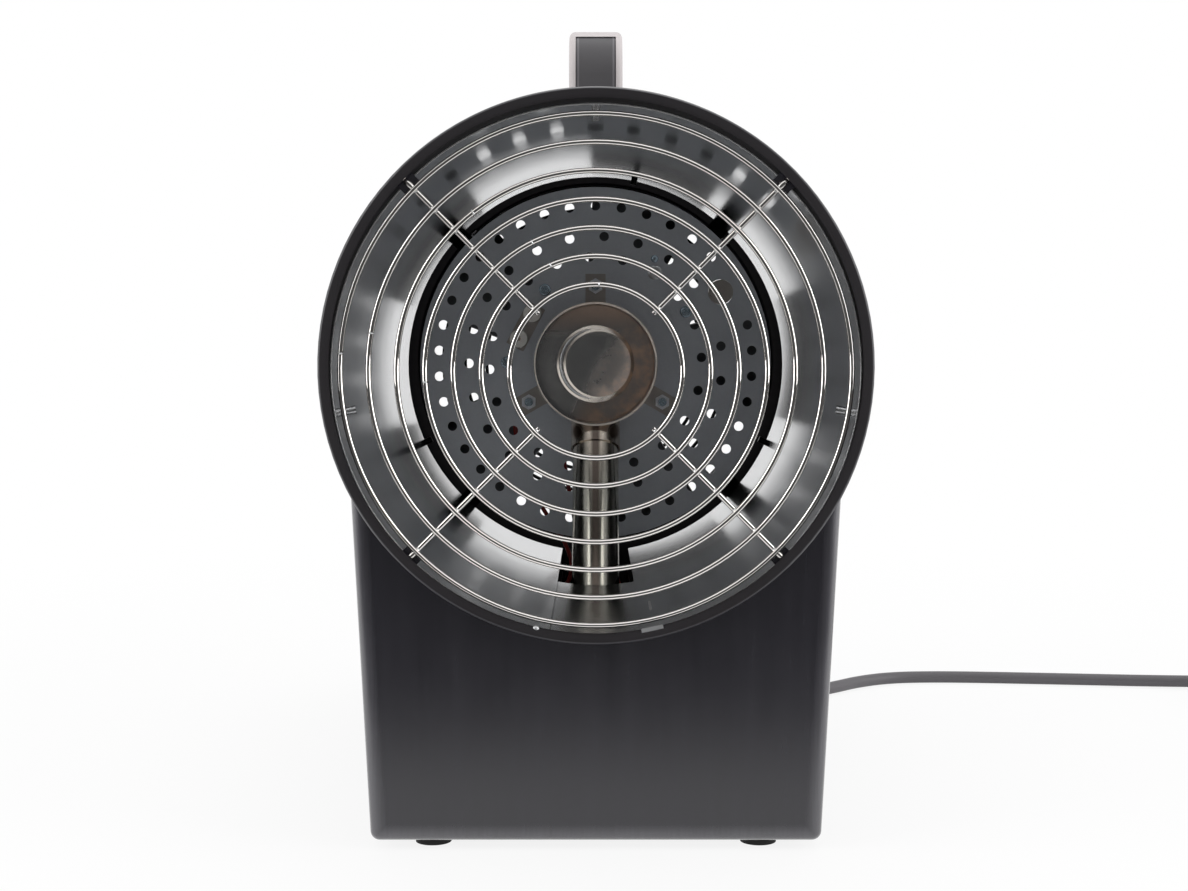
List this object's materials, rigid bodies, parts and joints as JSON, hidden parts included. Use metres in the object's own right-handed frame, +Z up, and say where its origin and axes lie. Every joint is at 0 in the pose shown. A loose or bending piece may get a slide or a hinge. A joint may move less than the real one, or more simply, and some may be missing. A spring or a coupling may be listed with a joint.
{
  "type": "gas space heater",
  "caption": "Forced-air gas space heater: a drum with wire guard, polished chamber, burner and fan on a tapered base box with rear controls, carrying handle and mains lead.",
  "frame": {"origin": "centre of the heater's footprint, at floor level under the feet", "axes": "+Z up, the hot-air mouth faces -Y, +Y runs back along the drum to the rear grille"},
  "size_m": [0.6419, 0.445, 0.396],
  "materials": {
    "black_paint": "satin powder coat",
    "polished_steel": "polished, bright rolled sheet",
    "guard_wire": "bright plated wire",
    "plate_steel": "dull satin sheet",
    "burner_steel": "heat-tinted stainless",
    "zinc_steel": "zinc plated",
    "black_screws": "blackened",
    "black_wire": "satin powder-coated wire",
    "brass": "machined",
    "copper": "drawn tube",
    "valve_body": "cast",
    "heat_wire": "heat-darkened",
    "ceramic": "glazed",
    "thermostat": "pressed",
    "red_wire": "silicone sheath",
    "fan_metal": "pressed sheet",
    "motor_case": "satin",
    "rubber": "moulded",
    "grey_plastic": "fine moulded grain",
    "dark_plastic": "fine moulded grain",
    "black_switch": "moulded",
    "red_button": "moulded",
    "white_plastic": "moulded",
    "grey_lead": "sheathed"
  },
  "bodies": {
    "heater": {"drum": "black_paint", "base_shell": "black_paint", "rear_panel": "black_paint", "guard_clips": "black_paint", "drum_saddles": "black_paint", "combustion_chamber": "polished_steel", "wire_guard": "guard_wire", "flame_plate": "plate_steel", "burner_cup": "burner_steel", "burner_cap": "burner_steel", "mixing_tube": "burner_steel", "tube_collar": "burner_steel", "chamber_spacers": "zinc_steel", "plate_brackets": "zinc_steel", "plate_screws": "zinc_steel", "burner_brackets": "zinc_steel", "burner_bolts": "zinc_steel", "burner_nuts": "zinc_steel", "sensor_bracket": "zinc_steel", "motor_screws": "zinc_steel", "casing_screws": "zinc_steel", "foot_screws": "zinc_steel", "handle_screws": "zinc_steel", "injector_holder": "zinc_steel", "piezo_nut": "zinc_steel", "chamber_screws": "black_screws", "panel_screws": "black_screws", "saddle_screws": "black_screws", "rear_grille": "black_wire", "injector": "brass", "gas_inlet": "brass", "inlet_nut": "brass", "gas_pipe": "copper", "gas_valve": "valve_body", "ignition_electrode": "heat_wire", "thermocouple": "heat_wire", "sensor_insulators": "ceramic", "overheat_thermostat": "thermostat", "ignition_lead": "red_wire", "thermocouple_lead": "red_wire", "motor_lead": "red_wire", "motor": "motor_case", "rubber_feet": "rubber", "handle_bow": "grey_plastic", "handle_inlays": "dark_plastic", "power_switch": "dark_plastic", "cable_gland": "dark_plastic", "lead_tie": "dark_plastic", "piezo_igniter": "black_switch", "terminal_block": "white_plastic", "mains_lead": "grey_lead", "mains_lead_coil": "grey_lead", "mains_plug": "grey_lead"},
    "fan": {"fan": "fan_metal", "motor_shaft": "zinc_steel"},
    "knob": {"control_knob": "dark_plastic", "valve_spindle": "zinc_steel"},
    "safety_button": {"safety_button": "red_button"},
    "igniter_button": {"igniter_button": "red_button"},
    "rocker": {"switch_rocker": "black_switch"}
  },
  "joints": [
    {"name": "fan_spin", "type": "hinge", "parent": "heater", "child": "fan", "pos_m": [0, 0.1575, 0.2247], "axis": [0, 1, 0], "continuous": true},
    {"name": "knob_turn", "type": "hinge", "parent": "heater", "child": "knob", "pos_m": [-0.04, 0.069, 0.054], "axis": [0, 1, 0], "range_deg": [0, 270]},
    {"name": "safety_press", "type": "slide", "parent": "heater", "child": "safety_button", "axis": [0, -1, 0], "range_m": [0, 0.005], "stiffness_N_per_m": 800},
    {"name": "igniter_press", "type": "slide", "parent": "heater", "child": "igniter_button", "axis": [0, -1, 0], "range_m": [0, 0.006], "stiffness_N_per_m": 1200},
    {"name": "switch_rock", "type": "hinge", "parent": "heater", "child": "rocker", "pos_m": [0.044, 0.0668, 0.056], "axis": [-1, 0, 0], "range_deg": [0, 16]}
  ]
}
